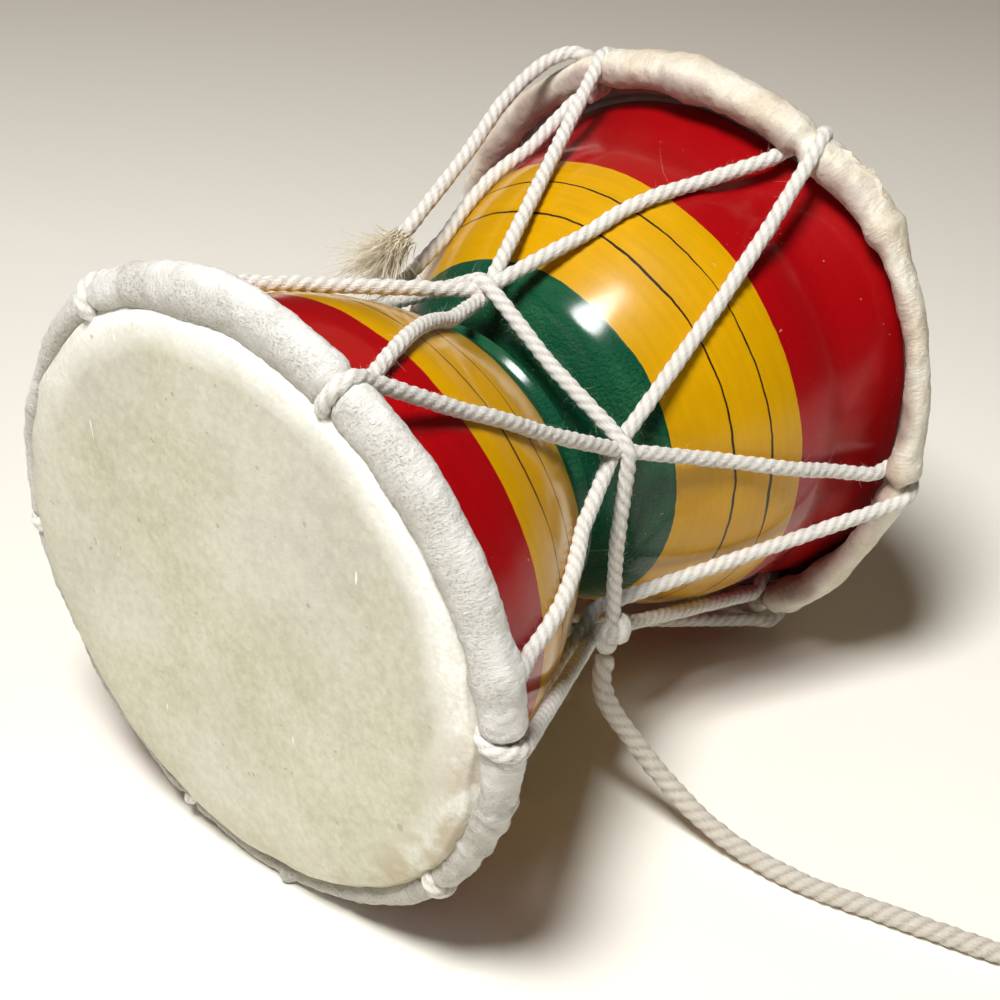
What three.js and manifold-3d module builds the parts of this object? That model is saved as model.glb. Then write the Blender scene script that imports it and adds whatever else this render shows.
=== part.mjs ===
// Hand drum of the hourglass kind: a turned wooden shell, two hide heads rolled over cane hoops,
// crossed cotton lacing drawn in by a girdle cord at the waist, and a loose pull cord.
// Millimetres, +Z up. The drum lies on its side with its axis along Y, its front head towards -Y,
// and the origin on the surface that it lies on, under the middle of the drum.

import * as THREE from 'three';
import { mergeVertices } from 'three/addons/utils/BufferGeometryUtils.js';
import Module from 'manifold-3d';

const wasm = await Module();
wasm.setup();

// Driving sizes

const gap = 0.3; // clearance between pieces that touch
const around = 36; // facets round the drum
const cordSides = 8;

const drum = {
  length: 117.3, // over both heads
  waistRadius: 18.3,
  mouthRadius: 46.4, // outside of the shell at its ends
  wall: 4,
  waistBore: 8,
};

const hide = {
  thickness: 0.8,
  rimSwell: 1.5, // how far it stands off the shell at the rim
  skirt: 4.6, // how far the hide comes down the outside of the shell
  web: 0.9,
  edgeRound: 0.5,
};

const hoop = {
  groove: 0.46, // between the head's rim and the roll
  setback: 4.85, // from the head's face to the cane's middle
  caneAcross: 2.4, // radially
  caneAlong: 3.8, // along the drum
  rollAcross: 5.48, // over the rolled hide
  rollAlong: 6.8,
  lapSlot: 0.9, // open seam of the roll, at its inner back
};

const cord = {
  diameter: 2.8,
  bite: 0.6, // how deep the lace draws into the rolled hide
  wrapSlant: 3.2, // sideways shift of the lace as it goes once round a roll
  innerRun: 4.4, // how far behind the cane the lace comes out straight
  innerDrop: 1.1, // and how much nearer to the axis it is by then
  lift: 0.9, // off the shell where it bends over a cup
  legSteps: 5,
};

const girdle = {
  drawn: 9.2, // from the waist to the middle of the lowest cord at the crossings
  stack: 3.55, // from cord to cord where they lie over each other
  cornerRun: 2.2, // rounded part each side of a crossing
  cornerRise: 0.7, // how far past the cord its two straight runs would meet
};

const pull = { diameter: 3.5 };

// Knots are measured across, along and out from what they are tied to
const tie = { across: 8.6, along: 7.4, height: 5.4, forward: 1.6 }; // the girdle's
const laceKnot = { across: 8.4, along: 6.6, height: 4 };
const endKnot = { across: 9, along: 9.4, height: 8.4 };

// The spare end of the lace: where it stops beside the waist, and the brush of its fibres
const fray = {
  off: 5.4, angle: 130, place: 3.6, // from the girdle outwards, round and along the drum
  bend: 4, // its cord turns sideways over this
  length: 9.5, width: 6.6, thickness: 3.4,
};

// Where the lace goes round the two hoops, and the crossings between them, in degrees from +X
// towards +Z, as the drum is seen from its front head
const frontAngles = [126, 63, 0, 319, 250, 188];
const rearAngles = [111.5, 62.5, 348.5, 297.3, 236, 176];
const crossingAngles = [90, 25, 325, 263, 206, 147];
const tieCrossing = 2; // the girdle is tied at this crossing, counted from 0
const laceKnotCrossing = 5; // and the first lace under this one
const tailAngle = 119.5; // the spare end of the lace goes over the rear hoop here
const tailTurn = 5; // degrees it moves sideways there

const halfLength = drum.length / 2;
const headRadius = drum.mouthRadius + gap + hide.thickness + hide.rimSwell;
const hoopRadius = headRadius + hoop.groove + hoop.rollAcross / 2; // of the cane's middle line
const hoopPlace = halfLength - hoop.setback;

// Middles of the lower and upper cord at a crossing, and of the girdle over them
const underRadius = drum.waistRadius + girdle.drawn;
const overRadius = underRadius + girdle.stack;
const girdleRadius = overRadius + girdle.stack;
const frayRadius = girdleRadius + fray.off;

// The roll is pressed flat between these two turns of its section, and the drum lies on that
const flat = 15;
const webDegrees = 10;
const rollRadius = hoopRadius + (hoop.rollAcross / 2) * Math.cos(THREE.MathUtils.degToRad(flat));
const floor = rollRadius * Math.cos(Math.PI / around);

// The pull cord's route, from the surface up: out of the girdle's knot, down to the surface and
// along it
const pullRoute = [
  [30.6, -3.6, 29.6], [30.4, -4.6, 26.6], [31.2, -4.9, 23.4], [32.9, -4.7, 20.4], [35.4, -4.0, 17.4],
  [38.6, -3.4, 14.0], [42.4, -2.9, 10.6], [46.6, -2.6, 7.7], [51.2, -2.3, 5.2], [56.2, -2.0, 3.4],
  [61.4, -1.7, 2.3], [67.0, -1.3, 1.85], [72.8, -0.8, 1.8], [79.0, 0.6, 1.8], [85.6, 2.2, 1.8],
  [92.3, 3.7, 1.8], [98.8, 5.2, 1.8], [105.2, 6.8, 1.8], [111.6, 8.9, 1.8], [117.8, 11.6, 1.8],
  [123.8, 14.9, 1.8], [129.4, 18.3, 2.4], [134.6, 21.4, 3.3], [139.4, 24.0, 3.8],
];

// Materials

const lacquer = new THREE.MeshStandardMaterial({ color: 0xc01820, roughness: 0.2, metalness: 0 });
const skin = new THREE.MeshStandardMaterial({ color: 0xd2cdb8, roughness: 0.75, metalness: 0 });
const cane = new THREE.MeshStandardMaterial({ color: 0xb08a55, roughness: 0.7, metalness: 0 });
const cotton = new THREE.MeshStandardMaterial({ color: 0xe9e1d2, roughness: 0.9, metalness: 0 });

// Solids

function bare(geometry) {
  const flat = geometry.clone();
  flat.deleteAttribute('normal');
  flat.deleteAttribute('uv');
  return mergeVertices(flat);
}

function toSolid(geometry) {
  const merged = bare(geometry);
  const corners = merged.index.array;
  const kept = [];
  for (let i = 0; i < corners.length; i += 3) {
    const [a, b, c] = [corners[i], corners[i + 1], corners[i + 2]];
    if (a !== b && b !== c && c !== a) kept.push(a, b, c);
  }
  const vertProperties = new Float32Array(merged.attributes.position.array);
  return new wasm.Manifold(new wasm.Mesh({ numProp: 3, vertProperties, triVerts: new Uint32Array(kept) }));
}

function fromSolid(solid) {
  const mesh = solid.getMesh();
  const geometry = new THREE.BufferGeometry();
  geometry.setAttribute('position', new THREE.BufferAttribute(mesh.vertProperties, 3));
  geometry.setIndex(new THREE.BufferAttribute(mesh.triVerts, 1));
  geometry.computeVertexNormals();
  return geometry;
}

function cut(geometry, tools) {
  let solid = toSolid(geometry);
  for (const tool of tools) solid = solid.subtract(toSolid(tool));
  return fromSolid(solid);
}

// Turned about the drum's axis, with a facet square to the floor below
function turned(outline) {
  const geometry = new THREE.LatheGeometry(outline, around);
  geometry.rotateY(Math.PI / around);
  return geometry;
}

const v2 = (x, y) => new THREE.Vector2(x, y);
const arcDegrees = (length, radius) => THREE.MathUtils.radToDeg(length / radius);

// Shell

// Outline of one cup from the waist to its mouth: the share of its length, and the share of the
// way from the waist's radius to the mouth's
const cupShares = [
  [0, 0], [0.04, 0.06], [0.105, 0.245], [0.16, 0.38], [0.22, 0.49], [0.32, 0.63], [0.43, 0.745],
  [0.54, 0.835], [0.66, 0.885], [0.78, 0.9], [0.9, 0.945], [1, 1],
];
const boreShares = [[0, 0], [0.12, 0.1], [0.35, 0.6], [0.6, 0.88], [1, 1]];

const shellHalf = halfLength - hide.thickness - gap;

function shellRadius(y) {
  const share = Math.min(1, Math.abs(y) / shellHalf);
  const i = Math.max(1, cupShares.findIndex(([at]) => at >= share));
  const [[a, ra], [b, rb]] = [cupShares[i - 1], cupShares[i]];
  const out = ra + ((rb - ra) * (share - a)) / (b - a);
  return drum.waistRadius + (drum.mouthRadius - drum.waistRadius) * out;
}

function cupPoints(shares, waist, mouth) {
  return shares.map(([along, out]) => v2(waist + (mouth - waist) * out, shellHalf * along));
}

function wholeOutline(points) {
  const front = points.slice(1).reverse().map((p) => v2(p.x, -p.y));
  return [...front, ...points];
}

function shellGeometry() {
  const outside = wholeOutline(cupPoints(cupShares, drum.waistRadius, drum.mouthRadius));
  const inside = wholeOutline(cupPoints(boreShares, drum.waistBore, drum.mouthRadius - drum.wall));
  return turned([...outside, ...inside.reverse(), outside[0]]);
}

// Heads and hoops; side is -1 at the front and 1 at the rear

function ovalPoint(across, along, degrees) {
  const turn = THREE.MathUtils.degToRad(degrees);
  return v2(hoopRadius + (across / 2) * Math.cos(turn), hoopPlace + (along / 2) * Math.sin(turn));
}

function ovalPoints(across, along, turns) {
  return turns.map((turn) => ovalPoint(across, along, turn));
}

function onSide(points, side) {
  const placed = points.map((p) => v2(p.x, side * p.y));
  return side > 0 ? placed : placed.reverse();
}

function hoopGeometry(side) {
  const turns = [-180, -135, -90, -45, 0, 45, 90, 135, 180];
  return turned(onSide(ovalPoints(hoop.caneAcross, hoop.caneAlong, turns), side));
}

// The hide's section: the disc over the shell's mouth, the skirt down its outside, the web out to
// the roll, and the roll round the cane, open along a seam at its inner back
function headOutline() {
  const hollowAcross = hoop.caneAcross + 2 * gap;
  const hollowAlong = hoop.caneAlong + 2 * gap;
  const seam = -180 + webDegrees + arcDegrees(hoop.lapSlot, hoop.rollAcross / 2);
  const face = halfLength;
  const hollowTurns = [180 + webDegrees, 180, 135, 90, 45, 0, -45, -90, -135, seam];
  const rollTurns = [seam, -120, -80, -45, -flat, flat, 45, 80, 120, 165];
  const webTop = hoopPlace + hide.web / 2;
  const skirtEnd = face - hide.skirt - hide.web;
  const rollInside = hoopRadius - hoop.rollAcross / 2;
  const shellOutside = (y) => shellRadius(y) + gap;
  const under = face - hide.thickness;
  return [
    v2(0, under),
    v2(drum.mouthRadius + gap, under),
    v2(shellOutside(webTop), webTop),
    v2(shellOutside(skirtEnd), skirtEnd),
    v2(shellOutside(skirtEnd) + hide.thickness, skirtEnd),
    v2(rollInside - gap, hoopPlace - hide.web / 2),
    ...ovalPoints(hollowAcross, hollowAlong, hollowTurns),
    ...ovalPoints(hoop.rollAcross, hoop.rollAlong, rollTurns),
    v2(rollInside - hide.thickness, webTop),
    v2(headRadius, face - hide.thickness - hide.edgeRound),
    v2(headRadius - hide.edgeRound, face),
    v2(0, face),
  ];
}

// The lace is drawn into the roll and through the web, so the hide makes way for it
function headGeometry(side, laces) {
  const way = (cord.diameter + 2 * gap) / Math.cos(Math.PI / cordSides);
  return cut(turned(onSide(headOutline(), side)), laces.map((points) => cordGeometry(points, way)));
}

// Cords

// A curve that is stepped at its own points, so that tight turns keep theirs
class RoutedCurve extends THREE.CatmullRomCurve3 {
  getUtoTmapping(share) {
    return share;
  }
}

function cordGeometry(points, diameter) {
  const section = new THREE.Shape();
  for (let i = 0; i < cordSides; i++) {
    const turn = (2 * Math.PI * (i + 0.5)) / cordSides;
    const [x, y] = [(diameter / 2) * Math.cos(turn), (diameter / 2) * Math.sin(turn)];
    if (i === 0) section.moveTo(x, y);
    else section.lineTo(x, y);
  }
  section.closePath();
  const extrudePath = new RoutedCurve(points, false, 'centripetal');
  return new THREE.ExtrudeGeometry(section, { steps: points.length - 1, extrudePath });
}

function polar(radius, degrees, y) {
  const turn = THREE.MathUtils.degToRad(degrees);
  return new THREE.Vector3(radius * Math.cos(turn), y, radius * Math.sin(turn));
}

// Once round a roll: over the outside first, round the head's side, through the hide and straight
// out behind; the angle moves from one value to the other on the way
function wrapPoints(side, fromAngle, toAngle) {
  const across = hoop.rollAcross + cord.diameter + 2 * gap - 2 * cord.bite;
  const along = hoop.rollAlong + cord.diameter + 2 * gap - 2 * cord.bite;
  const turns = [-35, 0, 35, 70, 105, 140, 180];
  const points = turns.map((turn, i) => {
    const p = ovalPoint(across, along, turn);
    return polar(p.x, fromAngle + ((toAngle - fromAngle) * i) / (turns.length - 1), side * p.y);
  });
  const innerRadius = hoopRadius - across / 2 - cord.innerDrop;
  points.push(polar(innerRadius, toAngle, side * (hoopPlace - cord.innerRun)));
  return points;
}

// A straight run that keeps off the shell, without its ends
function leg(from, to) {
  const off = cord.diameter / 2 + gap + cord.lift;
  const points = [];
  for (let i = 1; i < cord.legSteps; i++) {
    const p = from.clone().lerp(to, i / cord.legSteps);
    const radius = Math.hypot(p.x, p.z);
    const least = shellRadius(p.y) + off;
    if (radius < least) p.set((p.x * least) / radius, p.y, (p.z * least) / radius);
    points.push(p);
  }
  return points;
}

const wrapHalf = arcDegrees(cord.wrapSlant / 2, hoopRadius);

// In order from where the lace comes up through the hide to where it leaves over the roll
function hoopWrap(side, index) {
  const angle = side < 0 ? frontAngles[index] : rearAngles[index];
  return wrapPoints(side, angle - wrapHalf, angle + wrapHalf).reverse();
}

const tailWrap = () => wrapPoints(1, tailAngle + tailTurn, tailAngle).reverse();

function crossing(from, index, over, to) {
  const middle = polar(over ? overRadius : underRadius, crossingAngles[index], 0);
  return [...leg(from, middle), middle, ...leg(middle, to)];
}

// Hoop point, crossing, hoop point, from head to head in turn, going round by falling angle
function zigzag(wraps, startSide) {
  const points = [...wraps[0]];
  for (let index = 0; index + 1 < wraps.length; index++) {
    const over = startSide * (index % 2 ? -1 : 1) < 0;
    const next = wraps[index + 1];
    points.push(...crossing(wraps[index].at(-1), index, over, next[0]), ...next);
  }
  return points;
}

function lacingWraps(startSide) {
  return frontAngles.map((_, index) => hoopWrap(startSide * (index % 2 ? -1 : 1), index));
}

// The first lace goes all the way round and both its ends are tied in one knot
function knottedLacePoints() {
  const wraps = lacingWraps(-1);
  const [first, last] = [wraps[0][0], wraps.at(-1).at(-1)];
  const start = knotFace(laceKnot, laceKnotPlace, first);
  const end = knotFace(laceKnot, laceKnotPlace, last);
  return [start, ...leg(start, first), ...zigzag(wraps, -1), ...leg(last, end), end];
}

// The second lace starts tucked in behind the rear hoop, and its spare end comes back over it
function tailedLacePoints() {
  const wraps = lacingWraps(1);
  wraps.push(tailWrap());
  const last = wraps.at(-1).at(-1);
  const bendAngle = fray.angle - arcDegrees(fray.bend, frayRadius);
  const bend = polar(frayRadius, bendAngle, fray.place + fray.bend / 2);
  return [...zigzag(wraps, 1), ...leg(last, bend), bend, tailEnd];
}

function leastGapToItself(points, diameter) {
  const curve = new RoutedCurve(points, false, 'centripetal');
  const finer = curve.getPoints((points.length - 1) * 6);
  const along = [0];
  for (let i = 1; i < finer.length; i++) along.push(along[i - 1] + finer[i].distanceTo(finer[i - 1]));
  let least = Infinity;
  for (let i = 0; i < finer.length; i++) {
    for (let j = i + 1; j < finer.length; j++) {
      if (along[j] - along[i] < Math.PI * diameter) continue;
      least = Math.min(least, finer[i].distanceTo(finer[j]) - diameter);
    }
  }
  return least;
}

// Girdle

// It starts and ends at its own knot
function girdlePoints() {
  const count = crossingAngles.length;
  const alongGirdle = Array.from({ length: count + 1 }, (_, i) => (tieCrossing + i) % count);
  const corners = alongGirdle.map((i) => polar(girdleRadius + girdle.cornerRise, crossingAngles[i], 0));
  const tieDegrees = arcDegrees(tie.across / 2 + 2 * gap, tiePlaceRadius);
  const points = [polar(tiePlaceRadius, crossingAngles[tieCrossing] - tieDegrees, 0)];
  for (let i = 1; i + 1 < corners.length; i++) {
    const back = corners[i - 1].clone().sub(corners[i]).setLength(girdle.cornerRun);
    const ahead = corners[i + 1].clone().sub(corners[i]).setLength(girdle.cornerRun);
    points.push(corners[i].clone().lerp(corners[i - 1], 1 / 2));
    points.push(corners[i].clone().add(back), polar(girdleRadius, crossingAngles[alongGirdle[i]], 0));
    points.push(corners[i].clone().add(ahead));
  }
  points.push(corners.at(-2).clone().lerp(corners.at(-1), 1 / 2));
  points.push(polar(tiePlaceRadius, crossingAngles[tieCrossing] + tieDegrees, 0));
  return points;
}

// Knots: two tilted rings of cord round a core

const knotTilt = Math.PI / 5;
const knotFullShare = 1.2; // how far its rings stand out past an oval of its size

function knotGeometry(size, thick) {
  const ringRadius = (size.across - thick) / 2;
  const core = new THREE.SphereGeometry(1, 8, 6);
  core.scale(size.across / 2 - thick / 4, size.along / 2 - thick / 4, size.height / 2 - thick / 4);
  let solid = toSolid(core);
  for (const tilt of [-knotTilt, knotTilt]) {
    const ring = new THREE.TorusGeometry(ringRadius, thick / 2, 6, 10);
    ring.rotateX(Math.PI / 2);
    ring.rotateZ(tilt);
    const box = bounds(ring);
    ring.scale(size.across / box.x, size.along / 2 / box.y, size.height / box.z);
    const shift = Math.sign(tilt) * (size.along / 4);
    ring.translate(0, shift, 0);
    solid = solid.add(toSolid(ring));
  }
  return fromSolid(solid);
}

function bounds(geometry) {
  geometry.computeBoundingBox();
  return geometry.boundingBox.getSize(new THREE.Vector3());
}

// Where a cord ends, the named gap off the knot that it goes into
function knotFace(knot, place, toward) {
  const turn = Math.atan2(place.z, place.x);
  const way = toward.clone().sub(place).normalize();
  const inKnot = way.clone().applyAxisAngle(new THREE.Vector3(0, 1, 0), turn);
  const [across, along, out] = [inKnot.z / knot.across, inKnot.y / knot.along, inKnot.x / knot.height];
  const reach = knotFullShare / (2 * Math.hypot(across, along, out));
  return place.clone().addScaledVector(way, reach + gap);
}

const laceKnotPlace = polar(underRadius - gap, crossingAngles[laceKnotCrossing], 0);
const tiePlaceRadius = overRadius + cord.diameter / 2 + 2 * gap + tie.height / 2 + gap;
const tiePlace = polar(tiePlaceRadius, crossingAngles[tieCrossing], -tie.forward);
const tailEnd = polar(frayRadius, fray.angle, fray.place);

// The frayed end: a brush of loose fibres, flat and wider at its tip
const frayShares = [[0, 0], [0.42, 0], [0.6, 0.3], [0.9, 0.7], [1, 0.92], [0.7, 1], [0, 0.9]];

function frayGeometry() {
  const outline = frayShares.map(([out, along]) => v2((out * fray.width) / 2, along * fray.length));
  const brush = new THREE.LatheGeometry(outline, 10);
  brush.scale(1, 1, fray.thickness / fray.width);
  return brush;
}

// Assembly

const part = new THREE.Group();
const lying = new THREE.Group(); // the drum, lifted so that it lies on the floor
lying.position.z = floor;
part.add(lying);

function addPiece(group, name, geometry, material) {
  const mesh = new THREE.Mesh(bare(geometry), material.clone());
  mesh.name = name;
  group.add(mesh);
  return mesh;
}

addPiece(lying, 'shell', shellGeometry(), lacquer);

const laces = { lace_knotted: knottedLacePoints(), lace_tailed: tailedLacePoints() };

for (const [name, side] of [['front', -1], ['rear', 1]]) {
  addPiece(lying, `${name}_hoop`, hoopGeometry(side), cane);
  addPiece(lying, `${name}_head`, headGeometry(side, Object.values(laces)), skin);
}

for (const [name, points] of Object.entries(laces)) {
  console.log(`${name}: least gap to itself ${leastGapToItself(points, cord.diameter).toFixed(2)} mm`);
  addPiece(lying, name, cordGeometry(points, cord.diameter), cotton);
}
addPiece(lying, 'girdle', cordGeometry(girdlePoints(), cord.diameter), cotton);

const knots = [['girdle_knot', tie, tiePlace], ['lace_knot', laceKnot, laceKnotPlace]];
for (const [name, size, place] of knots) {
  const knot = addPiece(lying, name, knotGeometry(size, cord.diameter), cotton);
  const turn = Math.atan2(place.z, place.x);
  knot.geometry.rotateY(Math.PI / 2 - turn);
  knot.position.copy(place);
}

const brush = addPiece(lying, 'lace_fray', frayGeometry(), cotton);
const frayWay = laces.lace_tailed.at(-1).clone().sub(laces.lace_tailed.at(-2)).normalize();
brush.quaternion.setFromUnitVectors(new THREE.Vector3(0, 1, 0), frayWay);
brush.position.copy(tailEnd).addScaledVector(frayWay, gap);

const pullPoints = pullRoute.map(([x, y, z]) => new THREE.Vector3(x, y, z));
addPiece(part, 'pull_cord', cordGeometry(pullPoints, pull.diameter), cotton);
const pullKnot = addPiece(part, 'pull_knot', knotGeometry(endKnot, pull.diameter), cotton);
const [beforeEnd, pullEnd] = pullPoints.slice(-2);
const endWay = pullEnd.clone().sub(beforeEnd).normalize();
pullKnot.geometry.rotateZ(Math.atan2(endWay.y, endWay.x) - Math.PI / 2);
pullKnot.position.copy(pullEnd).addScaledVector(endWay, endKnot.along / 2 + gap);

export default part;
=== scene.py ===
import math

import bpy
import numpy as np
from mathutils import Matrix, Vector


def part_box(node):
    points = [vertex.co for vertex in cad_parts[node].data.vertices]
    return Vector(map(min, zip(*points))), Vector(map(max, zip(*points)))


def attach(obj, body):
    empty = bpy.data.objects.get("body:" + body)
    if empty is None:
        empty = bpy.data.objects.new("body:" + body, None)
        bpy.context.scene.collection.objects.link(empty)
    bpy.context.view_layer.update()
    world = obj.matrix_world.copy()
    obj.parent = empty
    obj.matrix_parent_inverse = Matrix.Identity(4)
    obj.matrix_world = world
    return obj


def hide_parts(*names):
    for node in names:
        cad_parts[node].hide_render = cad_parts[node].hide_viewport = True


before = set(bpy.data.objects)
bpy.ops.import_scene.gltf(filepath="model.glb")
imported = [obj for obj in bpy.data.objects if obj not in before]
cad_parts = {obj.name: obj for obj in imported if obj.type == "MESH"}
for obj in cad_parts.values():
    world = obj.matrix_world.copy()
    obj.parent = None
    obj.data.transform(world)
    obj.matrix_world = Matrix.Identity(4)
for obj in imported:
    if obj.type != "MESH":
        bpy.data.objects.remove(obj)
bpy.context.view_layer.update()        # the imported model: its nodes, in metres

# Hourglass hand drum on its side: lacquered shell, rolled hide heads, crossed lacing, pull cord

print("camera")

camera = {
    "place": (0.20128, -0.22424, 0.23923),
    "looks": (-0.55685, 0.63214, -0.53881),
    "lens": 74.31,
    "sensor": 36,
    "clip": (0.01, 20),
}


def makeCamera():
    data = bpy.data.cameras.new("camera")
    data.lens = camera["lens"]
    data.sensor_width = camera["sensor"]
    data.clip_start, data.clip_end = camera["clip"]
    eye = bpy.data.objects.new("camera", data)
    eye.location = camera["place"]
    eye.rotation_mode = "QUATERNION"
    eye.rotation_quaternion = Vector(camera["looks"]).to_track_quat("-Z", "Y")
    bpy.context.scene.collection.objects.link(eye)
    bpy.context.scene.camera = eye


makeCamera()

# Sizes that pieces share, as the drum's maker would give them

drum = {
    "length": 0.1173,
    "waistRadius": 0.0183,
    "mouthRadius": 0.0464,
    "headRadius": 0.049,
    "hoopRadius": 0.0522,   # middle of the cane
    "hoopSetback": 0.00485,
    "hideThickness": 0.0008,
}
halfLength = drum["length"] / 2
hoopPlace = halfLength - drum["hoopSetback"]
shellLow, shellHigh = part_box("shell")
shellHalf = (shellHigh.y - shellLow.y) / 2
axisHeight = (shellLow.z + shellHigh.z) / 2
axisPoint = np.array([0, 0, axisHeight])

roll = {"across": 0.00548, "along": 0.0068}

# How each rolled edge wanders from a true circle: degrees, outward, towards its head, and its size
# across and along the drum as shares of the roll's own, or one share for both
frontCourse = [
    (124, -0.0010, 0.0006, 1.06, 1.0), (112, -0.0011, 0.0006, 1.3, 0.97),
    (100, -0.0014, 0.0006, 1.62, 0.97), (90, -0.0015, 0.0006, 1.74, 0.97),
    (80, -0.0016, 0.0006, 1.66, 0.97), (70, -0.0018, 0.0006, 1.48, 0.97),
    (60, -0.0019, 0.0006, 1.52, 0.97), (50, -0.0015, 0.0006, 1.74, 0.97),
    (40, -0.0012, 0.0006, 1.68, 0.97), (30, -0.0008, 0.0006, 1.48, 1.0),
    (20, -0.0006, 0.0006, 1.22, 1.02), (12, 0.0002, 0.0005, 1.34, 1.06),
    (5, -0.0002, 0.0004, 1.16, 1.06), (350, 0.0, 0.0, 1.02, 1.02), (343, -0.0001, 0.0, 0.95, 0.95),
    (335, -0.0004, 0.0, 0.84, 0.84), (319, -0.0003, 0.0, 0.84, 0.84), (305, 0.0, 0.0, 0.72, 0.72),
    (290, 0.0004, 0.0, 0.66, 0.66), (270, 0.0007, 0.0, 0.64, 0.64), (250, 0.0004, 0.0, 0.64, 0.64),
    (230, 0.0, 0.0, 0.66, 0.66), (200, -0.0004, 0.0, 0.68, 0.68), (170, -0.0008, 0.0, 0.72, 0.72),
    (150, -0.0011, 0.0003, 0.76, 0.76), (134, -0.0012, 0.0006, 0.8, 0.8),
]
rearCourse = [
    (150, 0.0, 0.0, 1.0), (130, 0.0004, 0.0006, 1.08), (115, 0.0007, 0.001, 1.15),
    (100, 0.0006, 0.0013, 1.2), (90, 0.0004, 0.0011, 1.42), (80, 0.0005, 0.0011, 1.24),
    (70, 0.0007, 0.0013, 1.22), (60, 0.0008, 0.0014, 1.24), (50, 0.0017, 0.0028, 1.16),
    (42, 0.0018, 0.003, 1.14), (39, 0.0017, 0.0027, 0.98), (35, 0.0014, 0.0023, 0.82),
    (28, 0.001, 0.0018, 0.74), (20, 0.0007, 0.0013, 0.72), (10, 0.0, 0.0003, 0.76),
    (0, -0.0003, -0.0008, 0.92), (350, -0.0006, -0.0018, 0.96), (340, -0.0015, -0.0021, 0.84),
    (330, -0.0017, -0.0022, 0.88), (320, -0.0014, -0.0018, 1.0), (310, -0.0006, -0.0006, 1.08),
    (297, 0.0, 0.0, 1.0), (280, 0.0, 0.0, 0.88), (230, 0.0, 0.0, 0.96), (190, 0.0, 0.0, 1.0),
]

# How far the front skin's rim and the rear cup's mouth stand out: degrees, distance
rimOut = [
    (140, 0.0), (125, -0.0003), (110, -0.0008), (90, -0.0012), (50, -0.0013), (30, -0.0012),
    (15, -0.0006), (2, 0.0001), (345, 0.0006), (325, 0.0008), (305, 0.0006), (288, 0.0009),
    (265, 0.0008), (235, 0.0006), (200, 0.0004), (170, 0.0002),
]
mouthOut = [
    (100, 0.0), (75, 0.0003), (68, 0.0006), (60, 0.0014), (50, 0.0026), (42, 0.0034), (34, 0.0035),
    (26, 0.0031), (18, 0.0023), (8, 0.001), (0, 0.0003), (350, 0.0002), (340, 0.0007), (330, 0.0013),
    (320, 0.0017), (305, 0.0021), (295, 0.0016), (270, 0.0),
]

# Where the lacing goes round the front and rear hoops and where it crosses, in degrees
frontAngles = [124.5, 63, 0, 319, 250, 188]
rearAngles = [111.5, 62.5, 351, 299, 236, 176]
crossingAngles = [90, 25, 325, 263, 206, 147]
tieCrossing, laceKnotCrossing = 2, 5

print("shapes that pieces share")


def evenly(points, step):
    # the same line cut into equal steps of its own length
    points = np.asarray(points, float)
    at = np.append(0, np.cumsum(np.linalg.norm(np.diff(points, axis=0), axis=1)))
    wanted = np.linspace(0, at[-1], max(3, round(at[-1] / step) + 1))
    return np.stack([np.interp(wanted, at, points[:, k]) for k in range(points.shape[1])], -1)


def softened(points, step, reach):
    # each point becomes the mean of its neighbours, weighted by a bell curve of this reach
    line = evenly(points, step)
    half = min(int(3 * reach / step), len(line) - 2)
    weights = np.exp(-0.5 * (np.arange(-half, half + 1) * step / reach) ** 2)
    weights /= weights.sum()
    before = 2 * line[0] - line[half:0:-1]
    after = 2 * line[-1] - line[-2:-half - 2:-1]
    padded = np.concatenate([before, line, after])
    columns = [np.convolve(padded[:, k], weights, "valid") for k in range(line.shape[1])]
    return evenly(np.stack(columns, -1), step)


def thinned(line, fine, every):
    # all the points where fine holds, and each so many-th of the others
    return line[fine | (np.arange(len(line)) % every == 0)]


def waves(places, size, seed, count=28):
    # smooth unevenness about zero: a sum of cosines in random directions, about this size apart
    chance = np.random.default_rng(seed)
    ways = chance.normal(size=(count, places.shape[-1]))
    ways /= np.linalg.norm(ways, axis=1, keepdims=True)
    ways *= 2 * math.pi / size * chance.uniform(0.6, 1.6, (count, 1))
    phases = chance.uniform(0, 2 * math.pi, count)
    return np.cos(places @ ways.T + phases).sum(-1) * math.sqrt(2 / count)


def polar(radius, degrees, along):
    # round the drum's axis by an angle from +X towards +Z, and along the axis
    turn = np.radians(degrees)
    parts = np.broadcast_arrays(radius * np.cos(turn), along, radius * np.sin(turn) + axisHeight)
    return np.stack(parts, -1)


def onFloor(points):
    # what rests on the surface is pressed flat there, so nothing is lower
    points[..., 2] = np.maximum(points[..., 2], 0)
    return points


def unit(vectors):
    return vectors / np.linalg.norm(vectors, axis=-1, keepdims=True)


def roundRead(course, degrees):
    # a list by degrees, read between its own places and round past 360
    course = np.array(sorted(course))
    columns = range(1, course.shape[1])
    return tuple(np.interp(degrees, course[:, 0], course[:, k], period=360) for k in columns)


def courseAt(side, degrees):
    # the rolled edge's middle, its place along the drum, and half its size across and along
    outward, headward, *shares = roundRead(frontCourse if side < 0 else rearCourse, degrees)
    return (drum["hoopRadius"] + outward, hoopPlace + headward, roll["across"] / 2 * shares[0],
            roll["along"] / 2 * shares[-1])


def roundSteps(count, whole=2 * math.pi):
    # equal steps of one turn, in radians or in parts of the whole that is given
    return np.arange(count) * whole / count


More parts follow.
